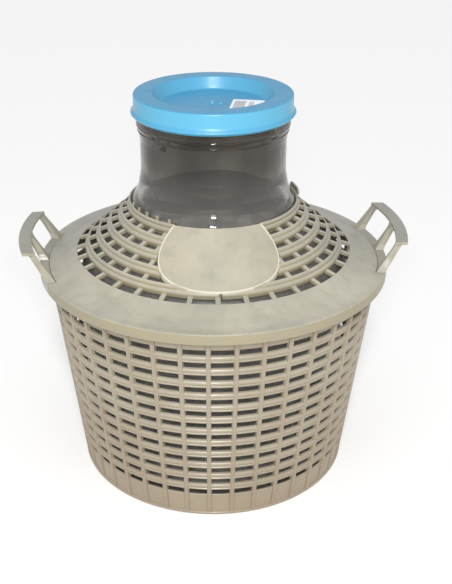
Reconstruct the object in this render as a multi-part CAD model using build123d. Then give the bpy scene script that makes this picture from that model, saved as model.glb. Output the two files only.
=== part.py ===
from build123d import *
from math import cos, radians, sin, sqrt
import os

# Wide-mouth glass demijohn standing in a moulded plastic basket, held down by a slotted
# cover that clips over the basket's rim, and closed by a push-on lid.
# Millimetres. The origin is the centre of the underside, +Z up, front plate towards -Y,
# the two handles along +X and -X.

# Basket: tapered tub of flat panels between upright ribs
rim_top_height = 241.6
basket_taper = 29.0
basket_wall = 2.5
floor_thickness = 3.0
foot_chamfer = 5.0
rib_count = 40
rib_width = 6.0
rib_proud = 3.0
slot_rows = 13
slot_height = 7.0
first_slot_height = 31.4
last_slot_depth = 24.3
rows_per_open_row = 4
slot_end_land = 0.7
flange_thickness = 3.5

# Cover: rim band, sloping disc, stepped cone of slotted treads, collar round the neck
rim_band_height = 9.3
rim_band_wall = 2.5
rim_overhang = 13.0
rim_flat_width = 9.0
rim_lap = 1.5
rim_overlap = 0.4
cover_wall = 3.2
disc_width = 34.0
disc_rise = 14.1
disc_crease_share = 0.5
disc_crease_drop = 1.9
tread_count = 5
tread_run = 12.2
tread_rise = 10.65
tread_width = 6.8
cover_slot_count = 33
cover_bar_width = 4.6
tread_lip = 0.4
tread_drop = 2.4
first_tread_extra = 2.0
collar_height = 7.0
collar_wall = 2.2

# Front plate: smooth bare oval that stands in for the treads behind it
front_angle = -92.4
plate_half_width = 61.0
plate_centre_offset = 11.6
plate_foot_gap = 0.7
plate_proud = 2.4
plate_wall = 2.4
plate_border = 2.0

# Handles: three leaning legs carry a flat curved grip
grip_reach = 7.0
grip_rise = 31.2
grip_width = 13.0
grip_thickness = 3.4
grip_half_angle = 18.5
leg_count = 3
leg_spread_angle = 17.2
leg_width = 6.5
leg_top_thickness = 4.0
leg_foot_thickness = 7.0
handle_base_half_angle = 21.0

# Glass vessel: straight-sided body, sloping shoulder, waisted neck and heavy lip
neck_radius = 77.0
neck_height = 37.0
glass_wall = 3.5
glass_base_thickness = 7.0
glass_base_bevel = 14.0
glass_shoulder_bevel = 16.0
throat_flare = 11.7
waist_flare = 3.3
waist_rise = 17.5
waist_height = 18.0
lip_flare = 2.5
lip_flare_height = 17.0
lip_height = 24.0
mouth_inset = 6.0

# Lid
lid_wall = 1.9
lid_top_wall = 2.3
lid_skirt_depth = 19.5
lid_bead_height = 3.2
lid_bead_proud = 3.6
lid_ring_width = 19.0
recess_taper = 6.7
recess_depth = 12.7

# Label on the lid's recessed floor
label_width = 33.0
label_height = 38.0
label_thickness = 0.15
label_edge_gap = 1.2
label_angle = -12.5

# Clearances
lid_clearance = 0.4
glass_clearance = 1.5
throat_clearance = 0.5
band_clearance = 0.5
notch_clearance = 0.5

# Radii that follow, from the neck out to the rim
last_tread = tread_count - 1
throat_radius = neck_radius + throat_flare
collar_radius = throat_radius + throat_clearance + collar_wall
tread_outer_radius = collar_radius + tread_width + last_tread * tread_run
rim_flat_radius = tread_outer_radius + disc_width
rim_radius = rim_flat_radius + rim_flat_width
disc_radius = rim_flat_radius + rim_lap
notch_radius = rim_flat_radius + rim_lap / 2
flange_radius = rim_radius - rim_band_wall - band_clearance
basket_top_radius = rim_radius - rim_overhang
basket_base_radius = basket_top_radius - basket_taper
plate_centre_radius = collar_radius + plate_centre_offset
plate_foot_radius = tread_outer_radius - tread_width - plate_foot_gap
plate_half_depth = plate_foot_radius - plate_centre_radius
grip_inner_radius = rim_radius + grip_reach
leg_foot_radius = rim_radius - leg_foot_thickness
waist_radius = neck_radius + waist_flare
lip_radius = neck_radius + lip_flare
mouth_radius = neck_radius - mouth_inset
skirt_radius = lip_radius + lid_clearance
lid_ring_inner_radius = skirt_radius + lid_wall - lid_ring_width
recess_floor_radius = lid_ring_inner_radius - recess_taper
label_reach = sqrt((recess_floor_radius - label_edge_gap) ** 2 - (label_height / 2) ** 2)

# Heights that follow, from the rim up to the lid
basket_height = rim_top_height - cover_wall
basket_flare = basket_taper / basket_height
slot_pitch = (basket_height - last_slot_depth - first_slot_height) / (slot_rows - 1)
grip_top_height = rim_top_height + grip_rise
first_tread_height = rim_top_height + disc_rise
cone_slope = tread_rise / tread_run
last_tread_height = first_tread_height + last_tread * tread_rise + tread_drop / 2
collar_top_height = last_tread_height + collar_height
collar_bottom_height = last_tread_height - cover_wall
throat_height = collar_bottom_height - glass_clearance
waist_bottom_height = collar_top_height + waist_rise
neck_bottom_height = waist_bottom_height + waist_height
neck_top_height = neck_bottom_height + neck_height
lip_start_height = neck_top_height + lip_flare_height
lip_top_height = lip_start_height + lip_height
lid_ceiling_height = lip_top_height + lid_clearance
lid_top_height = lid_ceiling_height + lid_top_wall
lid_skirt_bottom_height = lip_top_height - lid_skirt_depth
recess_floor_height = lid_top_height - recess_depth


def wall_radius(height):
    """Outside of the basket's wall at a height."""
    return basket_base_radius + basket_flare * height


def turned(shape, count, first_angle=0.0):
    """Copies of a shape, evenly spaced round the upright axis."""
    return [Rot(0, 0, first_angle + i * 360 / count) * shape for i in range(count)]


def upright_face(points):
    """Face from (radius, height) points in the plane through the upright axis."""
    return make_face(Polyline([(r, 0, z) for r, z in points], close=True))


def ring_block(inner, outer, bottom, top, half_angle):
    """Part of a ring with a rectangular section, centred on +X."""
    face = upright_face([(inner, bottom), (outer, bottom), (outer, top), (inner, top)])
    return Rot(0, 0, -half_angle) * revolve(face, Axis.Z, 2 * half_angle)


def flat_sector(points, count):
    """One flat side of a many-sided ring with the given section, centred on +X."""
    reach = 2 * rim_radius
    half_angle = radians(180 / count)
    edge = (reach * cos(half_angle), reach * sin(half_angle))
    wedge = make_face(Polyline((0, 0), edge, (edge[0], -edge[1]), close=True))
    side = extrude(upright_face(points), reach * sin(half_angle), dir=(0, 1, 0), both=True)
    return side & extrude(wedge, lid_top_height)


def opposite_pair(shape):
    """The shape at +X and its twin at -X."""
    return [shape, Rot(0, 0, 180) * shape]


def basket_side():
    """One flat side of the tub, from the floor's edge to the flange, with its slots."""
    floor_edge = wall_radius(0) - foot_chamfer
    flange_bottom = basket_height - flange_thickness
    flange_edge = flange_radius * cos(radians(180 / rib_count))
    side = flat_sector([
        (floor_edge, 0),
        (wall_radius(foot_chamfer), foot_chamfer),
        (wall_radius(flange_bottom), flange_bottom),
        (flange_edge, flange_bottom),
        (flange_edge, basket_height),
        (wall_radius(basket_height) - basket_wall, basket_height),
        (wall_radius(floor_thickness) - basket_wall, floor_thickness),
        (floor_edge, floor_thickness),
    ], rib_count)
    for row in range(rows_per_open_row // 2, slot_rows, rows_per_open_row):
        z = first_slot_height + row * slot_pitch
        chord = 2 * wall_radius(z) * sin(radians(180 / rib_count))
        gap = chord - rib_width - 2 * slot_end_land
        side -= Pos(wall_radius(z), 0, z) * Box(4 * basket_wall, gap, slot_height)
    return side


def basket_rib():
    """Upright rib on the outside of the wall, from the foot to the flange."""
    top = basket_height - flange_thickness / 2
    face = upright_face([
        (wall_radius(foot_chamfer) + rib_proud, foot_chamfer),
        (wall_radius(top) + rib_proud, top),
        (wall_radius(top) - basket_wall / 2, top),
        (wall_radius(foot_chamfer) - basket_wall / 2, foot_chamfer),
    ])
    return extrude(face, rib_width / 2, dir=(0, 1, 0), both=True)


def handle():
    """Handle on +X: base strip in the cover's notch, legs and grip."""
    base = ring_block(
        notch_radius + notch_clearance,
        rim_radius,
        rim_top_height - rim_band_height,
        rim_top_height,
        handle_base_half_angle,
    )
    grip_bottom = grip_top_height - grip_thickness
    grip = ring_block(
        grip_inner_radius,
        grip_inner_radius + grip_width,
        grip_bottom,
        grip_top_height,
        grip_half_angle,
    )
    leg_face = upright_face([
        (leg_foot_radius, rim_top_height - cover_wall),
        (rim_radius, rim_top_height - cover_wall),
        (grip_inner_radius + leg_top_thickness, grip_bottom + grip_thickness / 2),
        (grip_inner_radius, grip_bottom + grip_thickness / 2),
    ])
    leg = extrude(leg_face, leg_width / 2, dir=(0, 1, 0), both=True)
    step = 2 * leg_spread_angle / (leg_count - 1)
    legs = [Rot(0, 0, i * step - leg_spread_angle) * leg for i in range(leg_count)]
    return [base, grip] + legs


def basket_body():
    """Tub: floor, slotted sides, ribs, top flange and both handles in one moulding."""
    floor_outline = RegularPolygon(
        wall_radius(0) - foot_chamfer, rib_count, major_radius=False,
        rotation=180 / rib_count,
    )
    pieces = turned(basket_side(), rib_count)
    pieces += turned(basket_rib(), rib_count, 180 / rib_count)
    for piece in handle():
        pieces += opposite_pair(piece)
    return extrude(floor_outline, floor_thickness) + pieces


def tread(row):
    """Corners of a tread's top as (radius, height), outer one first, from the lowest up."""
    outer = tread_outer_radius - row * tread_run
    inner = outer - tread_width
    middle = first_tread_height + row * tread_rise
    if row == 0:
        outer += first_tread_extra
    return (outer, middle - tread_drop / 2), (inner, middle + tread_drop / 2)


def cover_rim():
    """Round part of the cover: the rim band and the flat edge behind it."""
    band_bottom = rim_top_height - rim_band_height
    band_inner = rim_radius - rim_band_wall
    flat_inner = disc_radius - rim_overlap
    return revolve(upright_face([
        (rim_radius, band_bottom),
        (rim_radius, rim_top_height),
        (flat_inner, rim_top_height),
        (flat_inner, basket_height),
        (band_inner, basket_height),
        (band_inner, band_bottom),
    ]), Axis.Z)


def cover_side():
    """One side of disc, stepped cone and collar, with a slot in each tread."""
    collar_inner = collar_radius - collar_wall
    foot = tread(0)[0]
    share = disc_crease_share
    crease_radius = foot[0] + share * (rim_flat_radius - foot[0])
    crease_height = foot[1] + share * (rim_top_height - foot[1]) - disc_crease_drop
    top = [
        (disc_radius, rim_top_height),
        (rim_flat_radius, rim_top_height),
        (crease_radius, crease_height),
    ]
    for row in range(tread_count):
        top += tread(row)
    under = [(r, z - cover_wall) for r, z in reversed(top)]
    under[0] = (collar_inner, under[0][1])
    collar = [(collar_radius, collar_top_height), (collar_inner, collar_top_height)]
    side = flat_sector(top + collar + under, cover_slot_count)
    for row in range(tread_count):
        (outer, low), (inner, high) = tread(row)
        middle = (outer + inner) / 2
        length = 2 * middle * sin(radians(180 / cover_slot_count)) - cover_bar_width
        depth = 2 * (cover_wall + tread_drop)
        cutter = Box(outer - inner - 2 * tread_lip, length, depth)
        side -= Pos(middle, 0, (low + high - cover_wall) / 2) * cutter
    return side


def plate_column(inset):
    """Oval of the front plate as an upright column outside the collar."""
    oval = Ellipse(plate_half_width - inset, plate_half_depth - inset)
    place = Rot(0, 0, front_angle) * Pos(plate_centre_radius, 0) * Rot(0, 0, -front_angle)
    outline = place * oval - Circle(collar_radius)
    return Pos(0, 0, basket_height) * extrude(outline, collar_top_height - basket_height)


def cone_shell(lift, depth):
    """Cone parallel to the treads' outer corners, from a lift above them down."""
    reach = plate_centre_radius + plate_half_depth + plate_border
    low = first_tread_height - tread_drop / 2 + lift
    foot = low + cone_slope * (tread_outer_radius - reach)
    head = low + cone_slope * (tread_outer_radius - collar_radius)
    face = upright_face([
        (reach, foot), (collar_radius, head),
        (collar_radius, head - depth), (reach, foot - depth),
    ])
    return revolve(face, Axis.Z)


def basket_cover():
    """Cover: slotted treads, plain front plate and notches for the handles."""
    pitch = 360 / cover_slot_count
    cover = cover_rim() + turned(cover_side(), cover_slot_count, front_angle + pitch / 2)
    notch = ring_block(
        notch_radius, rim_radius + rim_flat_width,
        rim_top_height - 2 * rim_band_height, rim_top_height + rim_band_height,
        handle_base_half_angle + notch_clearance,
    )
    cover -= opposite_pair(notch)
    cover -= plate_column(0)
    # Down to the underside of the treads at their inner edges
    tread_depth = cone_slope * tread_width - tread_drop + cover_wall
    border = plate_column(0) - plate_column(plate_border)
    border_lift = plate_proud + plate_border / 2
    border &= cone_shell(border_lift, border_lift + tread_depth)
    skin = plate_column(plate_border) & cone_shell(plate_proud, plate_wall)
    return cover + border + skin


def glass_vessel():
    """Blown vessel: body, shoulder and neck outside, plain bore inside."""
    side = wall_radius(floor_thickness) - basket_wall - glass_clearance
    bevel = glass_base_bevel
    inner_floor = floor_thickness + glass_base_thickness
    # Where the shoulder's slope would meet the straight side
    corner = throat_height - cone_slope * (side - throat_radius)
    reach = glass_shoulder_bevel
    inner_side = side - glass_wall
    inner_corner = corner - glass_wall
    outside = [
        (0, floor_thickness),
        (side - bevel, floor_thickness),
        (side, floor_thickness + bevel),
        (side, corner - reach),
        (side - reach, corner + cone_slope * reach),
        (throat_radius, throat_height),
        (waist_radius, waist_bottom_height),
        (neck_radius, neck_bottom_height),
        (neck_radius, neck_top_height),
        (lip_radius, lip_start_height),
        (lip_radius, lip_top_height),
    ]
    inside = [
        (mouth_radius, lip_top_height),
        (mouth_radius, waist_bottom_height),
        (throat_radius - glass_wall, throat_height - glass_wall),
        (inner_side, inner_corner),
        (inner_side, inner_floor),
        (0, inner_floor),
    ]
    return revolve(upright_face(outside + inside), Axis.Z)


def lid():
    """Lid: ring over the glass lip, sunk centre, skirt with a bead at its foot."""
    skirt_outer = skirt_radius + lid_wall
    bead_top = lid_skirt_bottom_height + lid_bead_height
    section = upright_face([
        (0, recess_floor_height),
        (recess_floor_radius, recess_floor_height),
        (lid_ring_inner_radius, lid_top_height),
        (skirt_outer, lid_top_height),
        (skirt_outer, bead_top),
        (skirt_outer + lid_bead_proud, bead_top),
        (skirt_outer + lid_bead_proud, lid_skirt_bottom_height),
        (skirt_radius, lid_skirt_bottom_height),
        (skirt_radius, lid_ceiling_height),
        (lid_ring_inner_radius + lid_wall, lid_ceiling_height),
        (lid_ring_inner_radius + lid_wall, recess_floor_height - lid_top_wall),
        (0, recess_floor_height - lid_top_wall),
    ])
    return revolve(section, Axis.Z)


def sticker():
    """Small paper label on the lid's sunk centre, its outer corners near the edge."""
    label = extrude(Rectangle(label_width, label_height), label_thickness)
    place = Pos(label_reach - label_width / 2, 0, recess_floor_height)
    return Rot(0, 0, label_angle) * place * label


os.makedirs("parts", exist_ok=True)
export_step(basket_body(), "parts/basket_body.step")
export_step(basket_cover(), "parts/basket_cover.step")
export_step(glass_vessel(), "parts/glass_vessel.step")
export_step(lid(), "parts/lid.step")
export_step(sticker(), "parts/sticker.step")
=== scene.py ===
from math import acos, atan2, cos, pi, radians, sin, sqrt, tan

import bmesh
import bpy
from mathutils import Matrix, Vector


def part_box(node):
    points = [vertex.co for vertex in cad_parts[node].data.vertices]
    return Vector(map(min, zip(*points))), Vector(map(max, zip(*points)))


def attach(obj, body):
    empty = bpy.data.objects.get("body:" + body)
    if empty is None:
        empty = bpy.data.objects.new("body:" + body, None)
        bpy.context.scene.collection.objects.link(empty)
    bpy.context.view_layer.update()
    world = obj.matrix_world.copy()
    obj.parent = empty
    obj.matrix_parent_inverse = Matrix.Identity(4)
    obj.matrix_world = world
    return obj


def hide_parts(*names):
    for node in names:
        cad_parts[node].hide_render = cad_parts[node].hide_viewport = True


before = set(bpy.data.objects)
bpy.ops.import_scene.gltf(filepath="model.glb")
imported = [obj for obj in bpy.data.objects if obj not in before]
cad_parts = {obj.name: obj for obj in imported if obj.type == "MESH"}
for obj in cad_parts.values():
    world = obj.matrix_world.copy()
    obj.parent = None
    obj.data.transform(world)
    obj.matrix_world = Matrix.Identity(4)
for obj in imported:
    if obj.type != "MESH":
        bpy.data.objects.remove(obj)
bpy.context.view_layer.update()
mm = 0.001

# The view: a long lens looks down on the basket from a little left of its front plate.
# It stands on white paper under an even white sky, with a wide soft light high in front
# and a small one just over the camera, for the glints on glass and slats.
view_target = Vector((0, 0, 192.6)) * mm
view_distance = 1118 * mm
view_azimuth = radians(-4.2)
view_elevation = radians(26.5)
view_direction = Vector((
    sin(view_azimuth) * cos(view_elevation),
    -cos(view_azimuth) * cos(view_elevation),
    sin(view_elevation),
))
camera_data = bpy.data.cameras.new("camera")
camera_data.lens = 60.95
camera_data.shift_x = 0.0216
camera = bpy.data.objects.new("camera", camera_data)
camera.location = view_target + view_distance * view_direction
camera.rotation_euler = (-view_direction).to_track_quat("-Z", "Y").to_euler()
bpy.context.scene.collection.objects.link(camera)
bpy.context.scene.camera = camera
bpy.context.scene.view_settings.view_transform = "Standard"


def lamp(name, kind, place, power):
    """Light at a place, turned towards the middle of the object."""
    data = bpy.data.lights.new(name, kind)
    data.energy = power
    holder = bpy.data.objects.new(name, data)
    holder.location = place
    holder.rotation_euler = (view_target - Vector(place)).to_track_quat("-Z", "Y").to_euler()
    bpy.context.scene.collection.objects.link(holder)
    return data


lamp("front_light", "SUN", (-0.26, -3.5, 3.6), 1.75).angle = radians(12)
lamp("camera_light", "AREA", camera.location + Vector((0, 0, 0.07)), 5.5).size = 0.12

world = bpy.data.worlds.new("studio")
world.use_nodes = True
world.node_tree.nodes["Background"].inputs["Color"].default_value = (1, 1, 1, 1)
world.node_tree.nodes["Background"].inputs["Strength"].default_value = 0.6
bpy.context.scene.world = world

floor_half = 6.0
floor_mesh = bpy.data.meshes.new("floor")
floor_mesh.from_pydata(
    [(x, y, 0) for x, y in ((-1, -1), (1, -1), (1, 1), (-1, 1))], [], [(0, 1, 2, 3)]
)
floor_mesh.transform(Matrix.Scale(floor_half, 4))
floor = bpy.data.objects.new("floor", floor_mesh)
bpy.context.scene.collection.objects.link(floor)
floor_paint = bpy.data.materials.new("floor_paper")
floor_paint.use_nodes = True
floor_shader = floor_paint.node_tree.nodes["Principled BSDF"]
floor_shader.inputs["Base Color"].default_value = (0.92, 0.92, 0.92, 1)
floor_shader.inputs["Roughness"].default_value = 0.9
floor_mesh.materials.append(floor_paint)


# The basket's plastic: old beige polyethylene with soft stains, a dull skin and fine grain.
# Its upright faces are darker and more yellow, and the faces that face up lighter and greyer:
# partly dust on the tops, partly painted light and shade for how each facing was lit.
def blotches(tree, scale, low, high, detail=3.0):
    """Soft noise on Object coordinates, stretched to a mask from 0 to 1."""
    place = tree.nodes.new("ShaderNodeTexCoord")
    noise = tree.nodes.new("ShaderNodeTexNoise")
    noise.inputs["Scale"].default_value = scale
    noise.inputs["Detail"].default_value = detail
    noise.inputs["Roughness"].default_value = 0.55
    mask = tree.nodes.new("ShaderNodeMapRange")
    mask.inputs["From Min"].default_value = low
    mask.inputs["From Max"].default_value = high
    tree.links.new(place.outputs["Object"], noise.inputs["Vector"])
    tree.links.new(noise.outputs["Fac"], mask.inputs["Value"])
    return mask.outputs["Result"]


def maths(tree, operation, *values):
    """Maths node in a tree, fed by sockets or plain numbers."""
    node = tree.nodes.new("ShaderNodeMath")
    node.operation = operation
    for value, socket in zip(values, node.inputs):
        if isinstance(value, (int, float)):
            socket.default_value = value
        else:
            tree.links.new(value, socket)
    return node.outputs[0]


def mixed(tree, mask, first, second):
    """Colour that goes from the first to the second by a mask, each a socket or a value."""
    mix = tree.nodes.new("ShaderNodeMix")
    mix.data_type = "RGBA"
    tree.links.new(mask, mix.inputs[0])
    for value, socket in ((first, mix.inputs[6]), (second, mix.inputs[7])):
        if isinstance(value, tuple):
            socket.default_value = value
        else:
            tree.links.new(value, socket)
    return mix.outputs[2]


def aged_plastic_group():
    """Colour, roughness and grain of an old stained plastic, with a colour by facing that is
    partly dust and partly painted light and shade, and painted shade towards the back.
    """
    group = bpy.data.node_groups.new("aged_plastic", "ShaderNodeTree")
    for name, kind in (
        ("Upright Colour", "NodeSocketColor"),
        ("Upward Colour", "NodeSocketColor"),
        ("Stain Colour", "NodeSocketColor"),
        ("Stain Amount", "NodeSocketFloat"),
        ("Low Darkening", "NodeSocketFloat"),
        ("Back Shade Amount", "NodeSocketFloat"),
        ("Gloss Loss", "NodeSocketFloat"),
    ):
        group.interface.new_socket(name, in_out="INPUT", socket_type=kind)
    for name, kind in (
        ("Colour", "NodeSocketColor"),
        ("Roughness", "NodeSocketFloat"),
        ("Height", "NodeSocketFloat"),
    ):
        group.interface.new_socket(name, in_out="OUTPUT", socket_type=kind)
    given = group.nodes.new("NodeGroupInput").outputs
    result = group.nodes.new("NodeGroupOutput").inputs
    facing = group.nodes.new("ShaderNodeNewGeometry")
    split = group.nodes.new("ShaderNodeSeparateXYZ")
    group.links.new(facing.outputs["Normal"], split.inputs["Vector"])
    # Colour by facing: the faces that face up take the upward colour, partly for dust and
    # partly as painted light and shade.
    upward = group.nodes.new("ShaderNodeMapRange")
    upward.inputs["From Min"].default_value = 0.25
    upward.inputs["From Max"].default_value = 0.95
    group.links.new(split.outputs["Z"], upward.inputs["Value"])
    clean = mixed(
        group, upward.outputs["Result"], given["Upright Colour"], given["Upward Colour"]
    )
    cloud = maths(group, "MULTIPLY", blotches(group, 16.0, 0.42, 0.68), given["Stain Amount"])
    clouded = mixed(group, cloud, clean, given["Stain Colour"])
    fleck = maths(group, "MULTIPLY", blotches(group, 75.0, 0.5, 0.8), given["Stain Amount"])
    flecked = mixed(group, fleck, clouded, given["Stain Colour"])
    height = group.nodes.new("ShaderNodeSeparateXYZ")
    place = group.nodes.new("ShaderNodeTexCoord")
    group.links.new(place.outputs["Object"], height.inputs["Vector"])
    # Darker towards the bottom: the stain colour is mixed in over the lowest 130 mm.
    low = group.nodes.new("ShaderNodeMapRange")
    low.inputs["From Min"].default_value = 0.13
    low.inputs["From Max"].default_value = 0.0
    group.links.new(height.outputs["Z"], low.inputs["Value"])
    low_darkening = maths(group, "MULTIPLY", low.outputs["Result"], given["Low Darkening"])
    low_darkened = mixed(group, low_darkening, flecked, given["Stain Colour"])
    # Painted shade: the colour turns to a darker grey towards the back, where less light
    # fell.
    behind = group.nodes.new("ShaderNodeMapRange")
    behind.inputs["From Min"].default_value = -0.11
    behind.inputs["From Max"].default_value = 0.14
    group.links.new(height.outputs["Y"], behind.inputs["Value"])
    back_shade = maths(group, "MULTIPLY", behind.outputs["Result"], given["Back Shade Amount"])
    group.links.new(mixed(group, back_shade, low_darkened, (0.29, 0.28, 0.275, 1)), result["Colour"])
    dull = maths(group, "MULTIPLY", blotches(group, 60.0, 0.3, 0.7), 0.16)
    group.links.new(maths(group, "ADD", dull, given["Gloss Loss"]), result["Roughness"])
    group.links.new(blotches(group, 420.0, 0.2, 0.8, 2.0), result["Height"])
    return group


aged_plastic = aged_plastic_group()


def aged_plastic_material(
    name, upright, upward, stain, amount, dullness, grain, low_darkening=0.0, back_shade=0.0
):
    """Material of one moulding, from the shared group with its own colours."""
    material = bpy.data.materials.new(name)
    material.use_nodes = True
    tree = material.node_tree
    shader = tree.nodes["Principled BSDF"]
    skin = tree.nodes.new("ShaderNodeGroup")
    skin.node_tree = aged_plastic
    skin.inputs["Upright Colour"].default_value = upright
    skin.inputs["Upward Colour"].default_value = upward
    skin.inputs["Stain Colour"].default_value = stain
    skin.inputs["Stain Amount"].default_value = amount
    skin.inputs["Low Darkening"].default_value = low_darkening
    skin.inputs["Back Shade Amount"].default_value = back_shade
    skin.inputs["Gloss Loss"].default_value = dullness
    tree.links.new(skin.outputs["Colour"], shader.inputs["Base Color"])
    tree.links.new(skin.outputs["Roughness"], shader.inputs["Roughness"])
    bump = tree.nodes.new("ShaderNodeBump")
    bump.inputs["Strength"].default_value = grain
    bump.inputs["Distance"].default_value = 0.2 * mm
    tree.links.new(skin.outputs["Height"], bump.inputs["Height"])
    tree.links.new(bump.outputs["Normal"], shader.inputs["Normal"])
    return material


# Painted light and shade in part: the basket's tops are lighter and greyer than its upright
# faces, besides the dust they carry.
basket_plastic = aged_plastic_material(
    "basket_plastic",
    upright=(0.315, 0.272, 0.20, 1),
    upward=(0.40, 0.365, 0.29, 1),
    stain=(0.24, 0.18, 0.12, 1),
    amount=0.3,
    dullness=0.24,
    grain=0.15,
    low_darkening=0.55,
)


# The slats: pairs of rounded bars lie between the basket's ribs, one pair under each row
# of openings. They lean outwards with the wall and widen with it.
rib_count = 40
slot_rows = 13
tub_height = 238.4
tub_base_radius = 150.4
tub_flare = 29 / tub_height
tub_wall = 2.5
first_slot = 31.4
row_rise = 15.225
slot_height = 7.0
slat_bottom = first_slot + slot_height / 2
slat_top = slat_bottom + row_rise - slot_height
slat_profile = (
    (0.0, -0.7), (0.03, 0.15), (0.08, 0.75), (0.16, 1.1), (0.25, 1.0), (0.31, 0.5),
    (0.345, 0.15), (0.38, 0.2), (0.42, 0.8), (0.49, 1.3), (0.58, 1.55), (0.68, 1.6),
    (0.78, 1.45), (0.87, 1.05), (0.94, 0.5), (0.98, 0.0), (1.0, -0.6),
)


def tub_radius(height):
    """Outside of the tub's wall between its ribs at a height."""
    return tub_base_radius + tub_flare * height


def turned(build, outline, start=0.0, end=360.0, steps=180):
    """Adds a closed (radius, height) outline turned about the upright axis, in degrees."""
    whole = end - start > 359.9
    rows = []
    for k in range(steps if whole else steps + 1):
        angle = radians(start + (end - start) * k / steps)
        rows.append([
            build.verts.new((r * cos(angle), r * sin(angle), z)) for r, z in outline
        ])
    for k in range(steps):
        near, far = rows[k], rows[(k + 1) % len(rows)]
        for i in range(len(outline)):
            j = (i + 1) % len(outline)
            build.faces.new((near[i], near[j], far[j], far[i]))
    if not whole:
        build.faces.new(rows[0])
        build.faces.new(rows[-1])


def skinned(build, sections):
    """Adds a closed skin over sections with the same number of points, capped at its ends."""
    rows = [[build.verts.new(point) for point in section] for section in sections]
    for low, high in zip(rows, rows[1:]):
        for i in range(len(low)):
            j = (i + 1) % len(low)
            build.faces.new((low[i], low[j], high[j], high[i]))
    build.faces.new(rows[0])
    build.faces.new(rows[-1])


def finished(name, build, crease=32):
    """Object in metres from a bmesh in millimetres, smooth up to a crease angle."""
    bmesh.ops.scale(build, vec=(mm, mm, mm), verts=build.verts)
    bmesh.ops.remove_doubles(build, verts=build.verts, dist=0.002 * mm)
    bmesh.ops.recalc_face_normals(build, faces=build.faces)
    mesh = bpy.data.meshes.new(name)
    build.to_mesh(mesh)
    build.free()
    mesh.shade_smooth()
    mesh.set_sharp_from_angle(angle=radians(crease))
    piece = bpy.data.objects.new(name, mesh)
    bpy.context.scene.collection.objects.link(piece)
    return piece


def ring_of_copies():
    """Node tree: rows and columns of a piece round the upright axis, widening upwards."""
    tree = bpy.data.node_groups.new("ring_of_copies", "GeometryNodeTree")
    for name, kind in (
        ("Piece", "NodeSocketGeometry"),
        ("Rows", "NodeSocketInt"),
        ("Columns", "NodeSocketInt"),
        ("Row Rise", "NodeSocketFloat"),
        ("Row Growth", "NodeSocketFloat"),
        ("First Angle", "NodeSocketFloat"),
        ("Angle Step", "NodeSocketFloat"),
        ("Material", "NodeSocketMaterial"),
    ):
        tree.interface.new_socket(name, in_out="INPUT", socket_type=kind)
    tree.interface.new_socket("Copies", in_out="OUTPUT", socket_type="NodeSocketGeometry")
    given = tree.nodes.new("NodeGroupInput").outputs
    index = tree.nodes.new("GeometryNodeInputIndex").outputs[0]
    row = maths(tree, "MODULO", index, given["Rows"])
    column = maths(tree, "FLOOR", maths(tree, "DIVIDE", index, given["Rows"]))
    line = tree.nodes.new("GeometryNodeMeshLine")
    line.inputs["Offset"].default_value = (0, 0, 0)
    tree.links.new(
        maths(tree, "MULTIPLY", given["Rows"], given["Columns"]), line.inputs["Count"]
    )
    place = tree.nodes.new("ShaderNodeCombineXYZ")
    tree.links.new(maths(tree, "MULTIPLY", row, given["Row Rise"]), place.inputs["Z"])
    stand = tree.nodes.new("GeometryNodeSetPosition")
    tree.links.new(line.outputs["Mesh"], stand.inputs["Geometry"])
    tree.links.new(place.outputs[0], stand.inputs["Position"])
    spin = tree.nodes.new("ShaderNodeCombineXYZ")
    tree.links.new(
        maths(tree, "MULTIPLY_ADD", column, given["Angle Step"], given["First Angle"]),
        spin.inputs["Z"],
    )
    growth = maths(tree, "MULTIPLY_ADD", row, given["Row Growth"], 1.0)
    scale = tree.nodes.new("ShaderNodeCombineXYZ")
    scale.inputs["Z"].default_value = 1
    tree.links.new(growth, scale.inputs["X"])
    tree.links.new(growth, scale.inputs["Y"])
    copies = tree.nodes.new("GeometryNodeInstanceOnPoints")
    tree.links.new(stand.outputs["Geometry"], copies.inputs["Points"])
    tree.links.new(given["Piece"], copies.inputs["Instance"])
    tree.links.new(spin.outputs[0], copies.inputs["Rotation"])
    tree.links.new(scale.outputs[0], copies.inputs["Scale"])
    real = tree.nodes.new("GeometryNodeRealizeInstances")
    tree.links.new(copies.outputs[0], real.inputs[0])
    dress = tree.nodes.new("GeometryNodeSetMaterial")
    tree.links.new(real.outputs[0], dress.inputs["Geometry"])
    tree.links.new(given["Material"], dress.inputs["Material"])
    result = tree.nodes.new("NodeGroupOutput")
    tree.links.new(dress.outputs[0], result.inputs[0])
    return tree


copies_tree = ring_of_copies()


def repeated(piece, material, columns, step, first=0.0, rows=1, rise=0.0, growth=0.0):
    """Turns a piece into a ring of its copies, as one plain mesh. Angles in degrees."""
    modifier = piece.modifiers.new("copies", "NODES")
    modifier.node_group = copies_tree
    values = {
        "Rows": rows,
        "Columns": columns,
        "Row Rise": rise * mm,
        "Row Growth": growth,
        "First Angle": radians(first),
        "Angle Step": radians(step),
        "Material": material,
    }
    for socket in copies_tree.interface.items_tree:
        if socket.in_out == "INPUT" and socket.name in values:
            modifier[socket.identifier] = values[socket.name]
    bpy.context.view_layer.update()
    graph = bpy.context.evaluated_depsgraph_get()
    mesh = bpy.data.meshes.new_from_object(piece.evaluated_get(graph))
    piece.modifiers.remove(modifier)
    single = piece.data
    piece.data = mesh
    bpy.data.meshes.remove(single)
    return piece


slat_outline = []
for share, proud in slat_profile:
    height = slat_bottom + share * (slat_top - slat_bottom)
    slat_outline.append((tub_radius(height) + proud, height))
slat_outline.append((tub_radius(slat_top) - tub_wall, slat_top))
slat_outline.append((tub_radius(slat_bottom) - tub_wall, slat_bottom))

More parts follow.
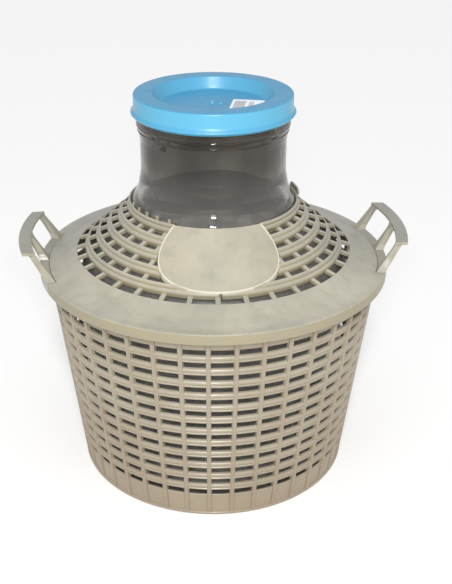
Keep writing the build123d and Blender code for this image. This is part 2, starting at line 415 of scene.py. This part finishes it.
rib_pitch = 360 / rib_count
lattice_turn = -1.3
build = bmesh.new()
turned(build, slat_outline, -rib_pitch / 2, rib_pitch / 2, 4)
slats = repeated(
    finished("slats", build), basket_plastic, rib_count, rib_pitch, lattice_turn,
    rows=slot_rows - 1, rise=row_rise, growth=tub_flare * row_rise / tub_radius(slat_top),
)


# The ribs: upright bars outside the wall, each with a shallow channel down its face. They
# run from under the rim to the turned-in foot and carry the slats between them.
rib_width = 5.6
rib_proud = 1.9
rib_slope = 0.5
rib_lip = 1.1
rib_dish = 0.35
rib_bevel = 0.5
rib_foot = 1.2
rib_foot_draw = 0.3
rib_head_gap = 1.0
foot_ring_height = 3.0

rib_face = rib_width / 2 - rib_slope
rib_section = [
    (rib_width / 2, -tub_wall),
    (rib_face, rib_proud - rib_bevel),
    (rib_face - rib_bevel, rib_proud),
    (rib_face - rib_lip, rib_proud),
    (rib_face - rib_lip - rib_bevel, rib_proud - rib_dish),
]
rib_section += [(-side, out) for side, out in reversed(rib_section)]
build = bmesh.new()
skinned(build, [
    [(tub_radius(height) + out - drawn_in, side, height) for side, out in rib_section]
    for height, drawn_in in ((rib_foot, rib_foot_draw), (tub_height - rib_head_gap, 0))
])
ribs = repeated(
    finished("ribs", build), basket_plastic, rib_count, rib_pitch,
    rib_pitch / 2 + lattice_turn,
)


# The basket's plain rings: the skirt under the lowest openings, with the floor, and the
# head ring under the flange that the cover sits on. With slats and ribs they are one.
skirt_top = first_slot - slot_height / 2
head_bottom = first_slot + (slot_rows - 1) * row_rise + slot_height / 2
floor_thickness = 3.0
foot_round = 1.3
flange_radius = 187.0
flange_thickness = 3.5
edge_round = 0.8


def rounded(points, radii, steps=4):
    """Outline with rounded corners: one radius for each point, and 0 keeps it sharp."""
    outline = []
    for i, point in enumerate(points):
        here = Vector(point)
        before = (Vector(points[i - 1]) - here).normalized()
        after = (Vector(points[(i + 1) % len(points)]) - here).normalized()
        half = acos(max(-1, min(1, before.dot(after)))) / 2
        if radii[i] == 0:
            outline.append(tuple(here))
            continue
        centre = here + (before + after).normalized() * (radii[i] / sin(half))
        start = here + before * (radii[i] / tan(half)) - centre
        end = here + after * (radii[i] / tan(half)) - centre
        first = atan2(start.y, start.x)
        sweep = (atan2(end.y, end.x) - first + pi) % (2 * pi) - pi
        for k in range(steps + 1):
            angle = first + sweep * k / steps
            outline.append((
                centre.x + radii[i] * cos(angle), centre.y + radii[i] * sin(angle)
            ))
    return outline


def joined(name, parts, material):
    """One object from several, all in one material."""
    build = bmesh.new()
    for part in parts:
        build.from_mesh(part.data)
        single = part.data
        bpy.data.objects.remove(part)
        bpy.data.meshes.remove(single)
    mesh = bpy.data.meshes.new(name)
    build.to_mesh(mesh)
    build.free()
    for face in mesh.polygons:
        face.material_index = 0
    mesh.materials.clear()
    mesh.materials.append(material)
    whole = bpy.data.objects.new(name, mesh)
    bpy.context.scene.collection.objects.link(whole)
    return whole


build = bmesh.new()
turned(build, rounded(
    [
        (0, 0),
        (tub_radius(0) + rib_proud, 0),
        (tub_radius(foot_ring_height) + rib_proud, foot_ring_height),
        (tub_radius(foot_ring_height), foot_ring_height + 0.4),
        (tub_radius(skirt_top), skirt_top),
        (tub_radius(skirt_top) - tub_wall, skirt_top),
        (tub_radius(floor_thickness) - tub_wall, floor_thickness),
        (0, floor_thickness),
    ],
    (0, foot_round, foot_round, 0.3, edge_round, edge_round, 0, 0),
))
flange_bottom = tub_height - flange_thickness
turned(build, rounded(
    [
        (tub_radius(head_bottom), head_bottom),
        (tub_radius(flange_bottom), flange_bottom),
        (flange_radius, flange_bottom),
        (flange_radius, tub_height),
        (tub_radius(tub_height) - tub_wall, tub_height),
        (tub_radius(head_bottom) - tub_wall, head_bottom),
    ],
    (edge_round, 0, edge_round, edge_round, edge_round, edge_round),
))
basket = joined("basket", [slats, ribs, finished("rings", build)], basket_plastic)
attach(basket, "carboy")
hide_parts("basket_body")


# The two handles, moulded with the basket: a strip let into the cover's rim carries three
# leaning legs with hollowed sides, and they hold a flat curved grip.
rim_radius = 190.0
rim_top = 241.6
rim_band_height = 11.3
strip_radius = 180.2
strip_half_angle = 21.0
grip_radius = 197.0
grip_width = 13.0
grip_top = 272.8
grip_thickness = 3.4
grip_round = 0.9
grip_steps = 32
leg_foot_angle = 18.4
leg_head_angle = 16.4
leg_foot_radius = 180.6
leg_top_thickness = 6.3
leg_half_width = 2.6
leg_foot_spread = 1.3
leg_flange = 1.3
leg_hollow = 1.0
end_inner_angle = 17.3
end_outer_angle = 15.8

# Painted shade: the faces that face up are darker than the upright ones, for the way the
# light fell on them.
handle_plastic = aged_plastic_material(
    "handle_plastic",
    upright=(0.35, 0.33, 0.255, 1),
    upward=(0.30, 0.295, 0.255, 1),
    stain=(0.22, 0.20, 0.16, 1),
    amount=0.35,
    dullness=0.28,
    grain=0.2,
)


def leg_sections(side_way, left, right):
    """Sections of a leg on +X, its head flared to the left and right by shares.

    A side way of -1 or 1 puts it at that end of the grip, splayed outwards to its foot.
    """
    grip_bottom = grip_top - grip_thickness
    sections = []
    for height, foot, head, hollow in (
        (rim_top - 1.5, 3.4, 0, 0), (rim_top + 0.3, 2.7, 0, 0), (rim_top + 1.6, 1.7, 0, 0),
        (rim_top + 3.6, 0.8, 0, 0), (rim_top + 5.2, 0.5, 0, 1), (grip_bottom - 8, 0, 0.2, 1),
        (grip_bottom - 5, 0, 0.7, 0), (grip_bottom - 3, 0, 1.6, 0),
        (grip_bottom - 1.4, 0, 3.0, 0), (grip_bottom - 0.2, 0, 5.4, 0),
        (grip_bottom + 0.6, 0, 6.4, 0),
    ):
        share = (height - rim_top) / (grip_bottom - rim_top)
        inner = leg_foot_radius + share * (grip_radius - leg_foot_radius)
        outer = rim_radius + share * (grip_radius + leg_top_thickness - rim_radius)
        section = []
        for hand, flare in ((1, left), (-1, right)):
            wide = leg_half_width + leg_foot_spread * (1 - share) + foot + head * flare
            slim = wide - hollow * leg_hollow
            side = [
                (inner, wide), (inner + leg_flange, wide), (inner + leg_flange, slim),
                (outer - leg_flange, slim), (outer - leg_flange, wide), (outer, wide),
            ]
            section += [(r, hand * y, height) for r, y in side[::hand]]
        lean = leg_foot_angle + (leg_head_angle - leg_foot_angle) * share
        turn = Matrix.Rotation(radians(side_way * lean), 3, "Z")
        sections.append([turn @ Vector(point) for point in section])
    return sections


build = bmesh.new()
strip_bottom = rim_top - rim_band_height
turned(
    build,
    rounded(
        [
            (strip_radius, strip_bottom), (rim_radius, strip_bottom),
            (rim_radius, rim_top), (strip_radius, rim_top),
        ],
        (0.4, edge_round, edge_round, 0.4),
    ),
    -strip_half_angle, strip_half_angle, 24,
)
grip_section = rounded(
    [
        (0, grip_top - grip_thickness), (grip_width, grip_top - grip_thickness),
        (grip_width, grip_top), (0, grip_top),
    ],
    (grip_round,) * 4,
)
sections = []
for k in range(grip_steps + 1):
    section = []
    for out, height in grip_section:
        # The ends are cut straight across, so the outer edge is a little shorter
        reach = end_inner_angle + (end_outer_angle - end_inner_angle) * out / grip_width
        angle = radians(reach * (2 * k / grip_steps - 1))
        r = grip_radius + out
        section.append((r * cos(angle), r * sin(angle), height))
    sections.append(section)
skinned(build, sections)
bars = repeated(finished("handle_bars", build), handle_plastic, 2, 180)
legs = []
for side_way, left, right in ((-1, 1, 0.1), (0, 0.7, 0.7), (1, 0.1, 1)):
    build = bmesh.new()
    skinned(build, leg_sections(side_way, left, right))
    legs.append(repeated(finished("legs", build), handle_plastic, 2, 180))
handles = joined("handles", [bars] + legs, handle_plastic)
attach(handles, "carboy")
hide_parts("basket_body")


# The cover's disc: one round moulding that drops from the lowest openings to the rim,
# flatter towards its edge, and turns down in a band over the basket's flange. It is
# notched for the strips that the handles stand on.
cover_wall = 3.2
tread_count = 5
tread_outer_radius = 147.0
tread_run = 12.2
tread_rise = 10.65
tread_width = 6.8
first_tread = 255.7
tread_drop = 2.4
first_tread_extra = 2.0
slot_columns = 33
disc_crease = (165.0, 246.2)
disc_foot_radius = 181.0
rim_band_wall = 2.5
notch_radius = 179.8
notch_half_angle = 21.2

# Painted light and shade in part: the upright faces, such as the rim band, are darker and tan
# and the tops lighter and grey-beige, partly dust. It also takes painted shade, greyer
# towards the back.
cover_plastic = aged_plastic_material(
    "cover_plastic",
    upright=(0.30, 0.257, 0.16, 1),
    upward=(0.42, 0.40, 0.325, 1),
    stain=(0.25, 0.245, 0.195, 1),
    amount=0.5,
    dullness=0.3,
    grain=0.2,
    back_shade=0.65,
)


def tread(row):
    """Outer and inner edge of a ring of openings as (radius, height), from the lowest."""
    outer = tread_outer_radius - row * tread_run
    middle = first_tread + row * tread_rise
    extra = first_tread_extra if row == 0 else 0
    return (
        (outer + extra, middle - tread_drop / 2),
        (outer - tread_width, middle + tread_drop / 2),
    )


disc_top = tread(0)[0]
disc_upper = [disc_top, disc_crease, (disc_foot_radius, rim_top)]
disc_under = [(r, z - cover_wall) for r, z in reversed(disc_upper)]
rim_outline = rounded(
    disc_upper[:2] + [
        (disc_foot_radius, rim_top),
        (rim_radius, rim_top),
        (rim_radius, strip_bottom),
        (rim_radius - rim_band_wall, strip_bottom),
        (rim_radius - rim_band_wall, rim_top - cover_wall),
    ] + disc_under,
    (1.0, 30, 30, 1.0, edge_round, edge_round, 0, 0, 0, 1.0),
)
notched_outline = rounded(
    disc_upper[:2] + [(notch_radius, rim_top + 0.2), (notch_radius, rim_top - cover_wall)]
    + disc_under[1:],
    (1.0, 30, 0.3, 0.3, 0, 1.0),
)
build = bmesh.new()
for middle in (0, 180):
    turned(build, notched_outline, middle - notch_half_angle, middle + notch_half_angle, 22)
    turned(
        build, rim_outline, middle + notch_half_angle, middle + 180 - notch_half_angle, 70
    )
disc = finished("disc", build)


# The cover's steps: ringed risers climb to the collar, with short bars across the
# openings between them. The rings end along the oval front plate, and only the lowest
# runs on below it.
front = -92.4
plate_front = -91.2
plate_half_width = 61.0
plate_centre = 103.0
plate_half_depth = 36.5
plate_tuck = 0.9
riser_steps = 300
least_riser = 0.04
bead_depth = 1.0
bead_count = 2
bead_bend = 5
bar_width = 5.0
bar_lip = 1.2
bar_dish = 0.5
bar_overlap = 0.8
bar_overlap_rise = 0.3
collar_radius = 91.4
collar_inner = 89.2
collar_top = 308.8


def plate_half_angle(radius, inset=0.0):
    """Half of the angle that the front plate's oval spans at a radius, in degrees."""
    wide = (plate_half_width - inset) ** 2
    deep = (plate_half_depth - inset) ** 2
    a = (1 / deep - 1 / wide) * radius ** 2
    b = 2 * radius * plate_centre / deep
    c = radius ** 2 / wide + plate_centre ** 2 / deep - 1
    under_root = b * b - 4 * a * c
    cosine = (b - sqrt(max(under_root, 0))) / (2 * a)
    return acos(cosine) * 180 / pi if under_root > 0 and cosine < 1 else 0.0


def plate_reach(angle):
    """Radius of the front plate's outer edge at an angle from its middle, or 0 beside it."""
    wide, deep = plate_half_width ** 2, plate_half_depth ** 2
    a = sin(angle) ** 2 / wide + cos(angle) ** 2 / deep
    b = plate_centre * cos(angle) / deep
    c = plate_centre ** 2 / deep - 1
    under_root = b * b - a * c
    return (b + sqrt(under_root)) / a if under_root > 0 and b > 0 else 0.0


def riser_section(low, high, angle, shown):
    """Section of a ringed riser between two treads, of which only a lower share is shown."""
    along = Vector(high) - Vector(low)
    out = Vector((along.y, -along.x)).normalized()
    outline = []
    for k in range(bead_count * bead_bend + 1):
        share = shown * k / (bead_count * bead_bend)
        proud = bead_depth * sqrt(abs(sin(pi * bead_count * share)))
        outline.append(tuple(Vector(low) + along * share + out * proud))
    last = Vector(low) + along * shown
    outline.append((last.x, last.y - cover_wall))
    outline.append((low[0] - shown, low[1] - cover_wall))
    return [(r * cos(angle), r * sin(angle), z) for r, z in outline]


build = bmesh.new()
for row in range(tread_count - 1):
    low, high = tread(row)[1], tread(row + 1)[0]
    sections = []
    for k in range(riser_steps + 1):
        angle = 2 * pi * k / riser_steps
        cut = plate_reach((angle + pi) % (2 * pi) - pi) - plate_tuck
        shown = min(1, (low[0] - cut) / (low[0] - high[0]))
        if shown > least_riser:
            sections.append(riser_section(low, high, angle + radians(plate_front), shown))
    skinned(build, sections)
steps = finished("steps", build, 50)

bars = []
slot_pitch = 360 / slot_columns
bar_section = [
    (bar_width / 2, -cover_wall),
    (bar_width / 2, 0),
    (bar_width / 2 - bar_lip, 0),
    (bar_width / 2 - bar_lip - bar_dish, -bar_dish),
]
bar_section += [(-side, up) for side, up in reversed(bar_section)]
for row in range(tread_count):
    (outer, low), (inner, high) = tread(row)
    build = bmesh.new()
    skinned(build, [
        [(r, side, z + up) for side, up in bar_section]
        for r, z in (
            (outer + bar_overlap, low - bar_overlap_rise),
            (inner - bar_overlap, high + bar_overlap_rise),
        )
    ])
    skipped = int(plate_half_angle((outer + inner) / 2) / slot_pitch + 1) if row else 0
    shown_bars = slot_columns + 1 - 2 * skipped if row else slot_columns
    bars.append(repeated(
        finished("bars", build), cover_plastic, shown_bars, slot_pitch,
        front + skipped * slot_pitch,
    ))


# The collar at the cover's top hugs the neck: a plain ring with two beads outside. A few
# small teeth stand on it at the left front, and one rounded tab at the right back.
collar_foot = tread(tread_count - 1)[1]
collar_bead = 1.1
collar_beads = ((93.2, collar_foot[1] - 0.6, 304.4), (91.6, 304.4, 308.4))
tooth_width = 3.0
tooth_height = 4.5
tooth_thickness = 1.4
tooth_first = -163.1
tooth_step = 9.85
tooth_count = 5
tab_width = 27.0
tab_height = 4.5
tab_thickness = 1.8
tab_offset = 2.0
tab_angle = 10.0
tongue_root = 3.0

collar_outline = [(collar_foot[0] + 0.4, collar_foot[1] - cover_wall)]
for bead_radius, bead_bottom, bead_top in collar_beads:
    for k in range(bead_bend + 1):
        lean = pi * k / bead_bend
        collar_outline.append((
            bead_radius - collar_bead * (1 - sin(lean)),
            bead_bottom + (bead_top - bead_bottom) * (1 - cos(lean)) / 2,
        ))
collar_outline += [
    (collar_radius - 1.2, collar_top), (collar_inner + 0.3, collar_top),
    (collar_inner, collar_top - 0.3), (collar_inner, collar_foot[1] - cover_wall),
]
build = bmesh.new()
clear = plate_half_angle(collar_radius, 1.0)
turned(build, collar_outline, plate_front + clear, plate_front + 360 - clear, 170)
collar = finished("collar", build, 50)


def upright_tab(width, height, thickness, radius):
    """Small upright tongue on +X with a rounded head."""
    outline = rounded(
        [
            (-width / 2, -tongue_root), (width / 2, -tongue_root),
            (width / 2, height), (-width / 2, height),
        ],
        (0, 0, min(width * 0.3, height), min(width * 0.3, height)),
    )
    build = bmesh.new()
    skinned(build, [
        [(radius + depth, side, collar_top + up) for side, up in outline]
        for depth in (0, thickness)
    ])
    return finished("tongue", build)


teeth = repeated(
    upright_tab(tooth_width, tooth_height, tooth_thickness, collar_inner),
    cover_plastic, tooth_count, tooth_step, tooth_first,
)
tab = repeated(
    upright_tab(tab_width, tab_height, tab_thickness, collar_inner + tab_offset),
    cover_plastic, 1, 0, tab_angle,
)


# The front plate: a smooth oval let into the steps, on a cone a little proud of them,
# with a fine raised edge. It is bare.
plate_foot = 259.4
plate_head = 305.6
plate_wall = 2.4
edge_width = 1.7
edge_proud = 1.1
edge_foot_depth = 2.9
edge_side_depth = 7.0
plate_rows = 20
plate_columns = 40
edge_steps = 72


def plate_height(radius):
    """Top of the plate's skin at a radius."""
    foot = plate_centre + plate_half_depth
    return plate_foot + (plate_head - plate_foot) * (foot - radius) / (foot - collar_radius)


build = bmesh.new()
skin_rows = []
reach = plate_centre + plate_half_depth - edge_width / 2
for k in range(plate_rows + 1):
    radius = reach - (reach - collar_inner) * (k / plate_rows) ** 2
    half = plate_half_angle(radius, edge_width / 2) if k else 0.01
    skin_rows.append([
        (radius, radians(plate_front + half * (2 * i / plate_columns - 1)))
        for i in range(plate_columns + 1)
    ])
layers = [
    [[
        build.verts.new((r * cos(a), r * sin(a), plate_height(r) - depth)) for r, a in row
    ] for row in skin_rows]
    for depth in (0, plate_wall)
]
for layer in layers:
    for near, far in zip(layer, layer[1:]):
        for i in range(plate_columns):
            build.faces.new((near[i], near[i + 1], far[i + 1], far[i]))
upper, lower = layers
rim_loop, under_loop = (
    [row[0] for row in layer] + layer[-1][1:] + [row[-1] for row in reversed(layer[:-1])]
    for layer in layers
)
for i in range(len(rim_loop) - 1):
    build.faces.new((rim_loop[i], rim_loop[i + 1], under_loop[i + 1], under_loop[i]))
for i in range(plate_columns):
    build.faces.new((upper[0][i], upper[0][i + 1], lower[0][i + 1], lower[0][i]))
skin = finished("plate_skin", build)

build = bmesh.new()
half = radians(plate_half_angle(collar_inner))
first = atan2(
    (collar_inner * cos(half) - plate_centre) / plate_half_depth,
    collar_inner * sin(half) / plate_half_width,
)
edge_section = rounded(
    [(0, -1), (0, edge_proud), (-edge_width, edge_proud), (-edge_width, -1)],
    (0, 0.5, 0.5, 0),
)
sections = []
for k in range(edge_steps + 1):
    angle = first + (pi - 2 * first) * k / edge_steps
    across, down = cos(angle), sin(angle)
    outward = Vector((across / plate_half_width, -down / plate_half_depth)).normalized()
    base = Vector((plate_half_width * across, -plate_centre - plate_half_depth * down))
    low_share = max(0, min(1, (base.length - plate_centre) / plate_half_depth))
    depth = edge_side_depth + (edge_foot_depth - edge_side_depth) * low_share
    section = []
    for out, up in edge_section:
        point = Matrix.Rotation(radians(plate_front + 90), 2) @ (base + outward * out)
        rise = up if up > -1 else -depth
        section.append((point.x, point.y, plate_height(point.length) + rise))
    sections.append(section)
skinned(build, sections)
plate_edge = finished("plate_edge", build)

# Painted highlight: the raised edge is a lighter colour than the plate, for the bright line
# along it.
plate_edge.data.materials.append(aged_plastic_material(
    "edge_painted_highlight",
    upright=(0.50, 0.46, 0.36, 1),
    upward=(0.58, 0.55, 0.46, 1),
    stain=(0.36, 0.34, 0.26, 1),
    amount=0.4,
    dullness=0.3,
    grain=0.2,
))
cover = joined("cover", [disc, steps, collar, teeth, tab, skin] + bars, cover_plastic)
for piece in (cover, plate_edge):
    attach(piece, "carboy")
    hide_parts("basket_cover")


# The glass vessel: blown in one, with a straight belly inside the basket, a sloping
# shoulder, a waisted neck with two fine rings, and a heavy lip under the lid.
side_radius = 144.36
side_wall = 3.5
vessel_floor = 7.0
shoulder_corner = (side_radius, 244.2)
throat = (88.7, 294.8)
collar_bulge = ((88.7, 302.0), (88.0, 307.5), (83.1, 316.5))
waist = (80.0, 325.0)
neck_radius = 77.0
neck_bottom = 342.0
neck_top = 376.0
lip_bead = (80.7, 394.6)
lip_radius = 79.4
lip_start = 399.5
lip_top = 420.0
mouth_radius = 71.0
ring_heights = (385.9, 391.8)
ring_proud = 0.7
ring_reach = 1.3

# The glass's colour is painted shade and reflection: the neck is tinted nearly black as
# painted shade, with lighter upright streaks of painted reflection, and below the neck it is
# a lighter grey.
glass = bpy.data.materials.new("smoky_glass")
glass.use_nodes = True
glass_shader = glass.node_tree.nodes["Principled BSDF"]
glass_tree = glass.node_tree
place = glass_tree.nodes.new("ShaderNodeTexCoord")
stretch = glass_tree.nodes.new("ShaderNodeMapping")
stretch.inputs["Scale"].default_value = (1, 1, 0.16)
glass_tree.links.new(place.outputs["Object"], stretch.inputs["Vector"])
# Upright streaks of painted reflection in the neck's tint.
runs = glass_tree.nodes.new("ShaderNodeTexNoise")
runs.inputs["Scale"].default_value = 30.0
runs.inputs["Detail"].default_value = 5.0
glass_tree.links.new(stretch.outputs[0], runs.inputs["Vector"])
reflection_run_mask = glass_tree.nodes.new("ShaderNodeMapRange")
reflection_run_mask.inputs["From Min"].default_value = 0.38
reflection_run_mask.inputs["From Max"].default_value = 0.66
glass_tree.links.new(runs.outputs["Fac"], reflection_run_mask.inputs["Value"])
split = glass_tree.nodes.new("ShaderNodeSeparateXYZ")
glass_tree.links.new(place.outputs["Object"], split.inputs[0])
low_neck = glass_tree.nodes.new("ShaderNodeMapRange")
low_neck.inputs["From Min"].default_value = 0.36
low_neck.inputs["From Max"].default_value = 0.31
glass_tree.links.new(split.outputs["Z"], low_neck.inputs["Value"])
painted_shade_tint = mixed(
    glass_tree, reflection_run_mask.outputs[0], (0.07, 0.055, 0.042, 1), (0.20, 0.18, 0.15, 1)
)
glass_tree.links.new(
    mixed(glass_tree, low_neck.outputs[0], painted_shade_tint, (0.52, 0.50, 0.47, 1)),
    glass_shader.inputs["Base Color"],
)
dusty = glass_tree.nodes.new("ShaderNodeMapRange")
dusty.inputs["From Min"].default_value = 0.305
dusty.inputs["From Max"].default_value = 0.28
dusty.inputs["To Min"].default_value = 0.03
dusty.inputs["To Max"].default_value = 0.3
glass_tree.links.new(split.outputs["Z"], dusty.inputs["Value"])
smears = maths(glass_tree, "MULTIPLY", blotches(glass_tree, 120.0, 0.55, 0.8), 0.15)
glass_tree.links.new(
    maths(glass_tree, "ADD", dusty.outputs[0], smears), glass_shader.inputs["Roughness"]
)
glass_shader.inputs["IOR"].default_value = 1.5
glass_shader.inputs["Transmission Weight"].default_value = 0.88

rings = []
for height in ring_heights:
    share = (height - neck_top) / (lip_bead[1] - neck_top)
    at_ring = neck_radius + (lip_bead[0] - neck_radius) * share
    rings += [
        (at_ring, height - ring_reach), (at_ring + ring_proud, height),
        (at_ring, height + ring_reach),
    ]
outer_wall = rounded(
    [
        (0, floor_thickness),
        (side_radius, floor_thickness),
        shoulder_corner,
        throat,
        *collar_bulge,
        waist,
        (neck_radius, neck_bottom),
        (neck_radius, neck_top),
        *rings,
        lip_bead,
        (lip_radius, lip_start),
        (lip_radius, lip_top),
        (mouth_radius, lip_top),
        (mouth_radius, waist[1]),
        (throat[0] - side_wall, throat[1] - side_wall),
        (side_radius - side_wall, shoulder_corner[1] - side_wall),
        (side_radius - side_wall, floor_thickness + vessel_floor),
        (0, floor_thickness + vessel_floor),
    ],
    (
        0, 14, 20, 5, 5, 12, 20, 30, 60, 20, 0.8, 0.9, 0.8, 0.8, 0.9, 0.8, 1.6, 4,
        2.5, 2.5, 50, 40, 18, 9, 0,
    ),
    8,
)
build = bmesh.new()
turned(build, outer_wall, steps=192)
vessel = finished("glass_vessel_body", build, 60)
vessel.data.materials.append(glass)
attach(vessel, "carboy")
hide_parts("glass_vessel")


# The lid: soft blue plastic that pushes over the glass lip, with a ring on top, a sunk
# centre, and a bead round the foot of its skirt. A gate mark and a lower mark beside it
# stand on the sunk centre.
skirt_radius = 79.9
skirt_wall = 3.0
skirt_bottom = 400.5
lid_flare = 7.0
lid_bead_edge = 3.2
lid_bead_proud = 3.3
lid_foot_radius = 82.6
lid_top = 422.7
lid_top_wall = 2.3
sunk_edge_radius = 63.2
sunk_floor_radius = 56.1
sunk_floor = 410.0
centre_marks = ((-1.2, 1.5, 3.6, 1.2, 3.2), (7.6, 1.8, 3.4, 3.0, 0.8))

# Painted shade: the faces that face up are darker than the upright ones, for the way the
# light fell on them.
blue = aged_plastic_material(
    "blue_plastic",
    upright=(0.095, 0.37, 0.55, 1),
    upward=(0.06, 0.28, 0.48, 1),
    stain=(0.09, 0.30, 0.47, 1),
    amount=0.1,
    dullness=0.24,
    grain=0.12,
)

lid_outline = rounded(
    [
        (0, sunk_floor),
        (sunk_floor_radius, sunk_floor),
        (sunk_edge_radius, lid_top),
        (skirt_radius + skirt_wall, lid_top),
        (skirt_radius + skirt_wall, skirt_bottom + lid_flare),
        (skirt_radius + skirt_wall + lid_bead_proud, skirt_bottom + lid_bead_edge),
        (lid_foot_radius, skirt_bottom),
        (skirt_radius, skirt_bottom),
        (skirt_radius, lid_top - lid_top_wall),
        (sunk_edge_radius + skirt_wall, lid_top - lid_top_wall),
        (sunk_edge_radius + skirt_wall, sunk_floor - lid_top_wall),
        (0, sunk_floor - lid_top_wall),
    ],
    (0, 3.0, 1.6, 1.8, 5.0, 0.8, 0.6, 0.5, 0.5, 0.5, 1.0, 0),
    5,
)
build = bmesh.new()
turned(build, lid_outline, steps=160)
for x, y, wide, narrow, rise in centre_marks:
    bmesh.ops.create_cone(
        build, cap_ends=True, segments=24, radius1=wide, radius2=narrow, depth=2 * rise,
        matrix=Matrix.Translation((x, y, sunk_floor)),
    )
lid = finished("lid_shell", build)
lid.data.materials.append(blue)
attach(lid, "lid")
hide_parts("lid")


# The label: thin white paper stuck askew on the sunk centre, with a field of grey bars,
# a few grey blocks and a blank end.
label_low, label_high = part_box("sticker")
label_width = 33.0
label_length = 38.0
label_turn = -12.5
label_bars = 13
label_bar_share = 0.55
print_strength = 0.45
label_centre = (label_low + label_high) / 2

paper = bpy.data.materials.new("label_paper")
paper.use_nodes = True
paper_tree = paper.node_tree
paper_shader = paper_tree.nodes["Principled BSDF"]
paper_shader.inputs["Roughness"].default_value = 0.6
place = paper_tree.nodes.new("ShaderNodeTexCoord")
turn = paper_tree.nodes.new("ShaderNodeMapping")
turn.vector_type = "TEXTURE"
turn.inputs["Location"].default_value = label_centre
turn.inputs["Rotation"].default_value = (0, 0, radians(label_turn))
turn.inputs["Scale"].default_value = (label_width * mm, label_length * mm, 1)
paper_tree.links.new(place.outputs["Object"], turn.inputs["Vector"])
split = paper_tree.nodes.new("ShaderNodeSeparateXYZ")
paper_tree.links.new(turn.outputs[0], split.inputs[0])


def between(tree, value, low, high):
    """Mask that is 1 where a value lies between two numbers."""
    return maths(
        tree, "MULTIPLY", maths(tree, "GREATER_THAN", value, low),
        maths(tree, "LESS_THAN", value, high),
    )


across, along = split.outputs["X"], split.outputs["Y"]
repeats = maths(paper_tree, "FRACT", maths(paper_tree, "MULTIPLY", along, label_bars))
stripes = between(paper_tree, repeats, 0.0, label_bar_share)
bar_field = maths(
    paper_tree, "MULTIPLY", stripes,
    maths(paper_tree, "MULTIPLY", between(paper_tree, across, -0.42, -0.06),
          between(paper_tree, along, -0.38, 0.36)),
)
print_field = maths(
    paper_tree, "MULTIPLY", between(paper_tree, across, 0.04, 0.2),
    between(paper_tree, along, -0.1, 0.34),
)
blocks = maths(paper_tree, "MULTIPLY", print_field, print_strength)
marks = maths(paper_tree, "MAXIMUM", bar_field, blocks)
paper_tree.links.new(
    mixed(paper_tree, marks, (0.82, 0.84, 0.86, 1), (0.16, 0.17, 0.2, 1)),
    paper_shader.inputs["Base Color"],
)
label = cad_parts["sticker"]
label.data.materials.clear()
label.data.materials.append(paper)

bpy.context.view_layer.update()
